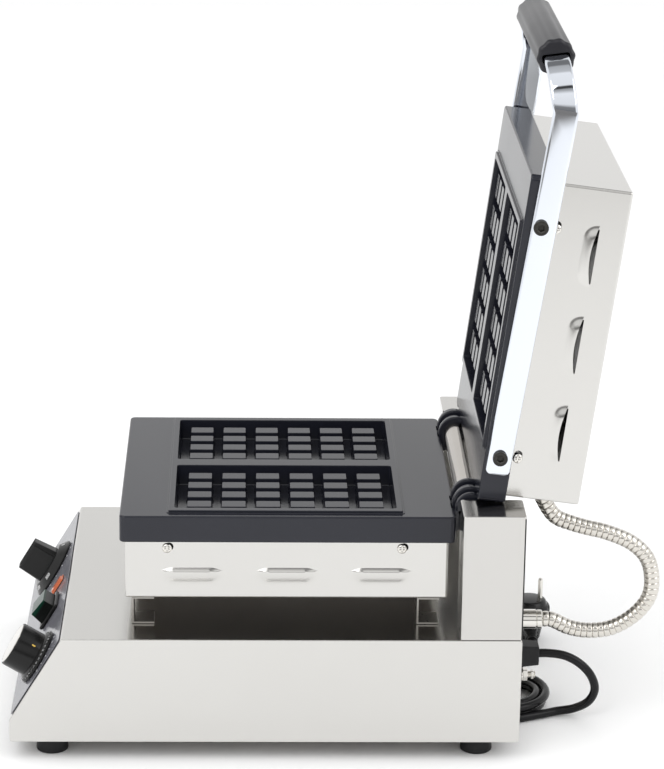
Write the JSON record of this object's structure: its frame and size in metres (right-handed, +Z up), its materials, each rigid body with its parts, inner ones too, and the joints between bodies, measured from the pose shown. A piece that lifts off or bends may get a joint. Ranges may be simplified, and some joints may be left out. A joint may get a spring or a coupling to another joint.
{
  "type": "belgian waffle maker",
  "caption": "Countertop waffle maker: two cast iron grids with posts, stainless sloped base with controls, hinged lid with bar handle, ribbed conduit and power cord",
  "frame": {"origin": "on the surface that the feet stand on, under the middle of the machine without its cord", "axes": "+Z up; controls toward -Y, hinge and cord toward +Y; +X is the right-hand side seen from the front, along the hinge axis"},
  "size_m": [0.31, 0.5402, 0.5819],
  "materials": {
    "stainless": "brushed, satin",
    "galvanised": "plain sheet, dull",
    "cast_iron": "dark blue-grey coated casting, satin",
    "chrome": "polished",
    "nickel": "bright plated",
    "black_steel": "black oxide",
    "bakelite": "dark moulded, satin gloss",
    "knob_plastic": "black moulded, satin gloss",
    "green_plastic": "dark green, translucent look",
    "lamp_orange": "orange-red lens",
    "panel_grey": "grey printed sheet",
    "rubber": "matt black",
    "brass": "plain",
    "conduit_steel": "nickel plated strip",
    "cord_black": "smooth black sheath"
  },
  "bodies": {
    "machine_base": {"base_shell": "stainless", "base_floor": "galvanised", "foot_front_right": "rubber", "foot_front_left": "rubber", "foot_rear_right": "rubber", "foot_rear_left": "rubber", "terminal_block": "bakelite", "column_right": "stainless", "column_left": "stainless", "hinge_shaft": "black_steel", "hinge_tube": "stainless", "lower_plate": "cast_iron", "lower_housing": "stainless", "lower_screw_front_right": "nickel", "lower_screw_rear_right": "nickel", "lower_screw_front_left": "nickel", "lower_screw_rear_left": "nickel", "bracket_front_right": "galvanised", "bracket_front_left": "galvanised", "bracket_rear_right": "galvanised", "bracket_rear_left": "galvanised", "lower_heater": "galvanised", "lower_heater_clamp": "galvanised", "thermostat_probe": "brass", "control_panel": "panel_grey", "thermostat": "galvanised", "timer": "galvanised", "switch_body": "knob_plastic", "indicator_lamp": "lamp_orange", "conduit_connector_base": "nickel", "conduit": "conduit_steel", "cord_gland": "rubber", "earth_terminal": "nickel", "power_cord": "cord_black", "cord_coil": "cord_black", "cord_tail": "cord_black", "plug": "cord_black", "plug_pin_front": "nickel", "plug_pin_rear": "nickel"},
    "lid": {"lid_plate": "cast_iron", "lid_housing": "stainless", "lid_screw_front_right": "nickel", "lid_screw_rear_right": "nickel", "lid_screw_front_left": "nickel", "lid_screw_rear_left": "nickel", "lid_heater": "galvanised", "lid_heater_clamp": "galvanised", "handle_bar": "chrome", "handle_grip": "bakelite", "handle_bolt_rear_right": "black_steel", "handle_bolt_front_right": "black_steel", "handle_bolt_rear_left": "black_steel", "handle_bolt_front_left": "black_steel", "conduit_connector_lid": "nickel"},
    "thermostat_dial": {"thermostat_knob": "knob_plastic"},
    "timer_dial": {"timer_knob": "knob_plastic", "timer_cap": "nickel"},
    "rocker": {"power_switch": "green_plastic"}
  },
  "joints": [
    {"name": "lid_hinge", "type": "hinge", "parent": "machine_base", "child": "lid", "pos_m": [0, 0.10867, 0.202], "axis": [1, 0, 0], "range_deg": [0, 97.3], "deforming": ["conduit"]},
    {"name": "thermostat_turn", "type": "hinge", "parent": "machine_base", "child": "thermostat_dial", "pos_m": [-0.079, -0.23785, 0.07447], "axis": [0, -0.8562, 0.5166], "range_deg": [-290, 0]},
    {"name": "timer_turn", "type": "hinge", "parent": "machine_base", "child": "timer_dial", "pos_m": [0.116, -0.23904, 0.0725], "axis": [0, -0.8562, 0.5166], "range_deg": [-300, 0]},
    {"name": "switch_rock", "type": "hinge", "parent": "machine_base", "child": "rocker", "pos_m": [0.036, -0.23284, 0.07986], "axis": [1, 0, 0], "range_deg": [0, 14]}
  ]
}
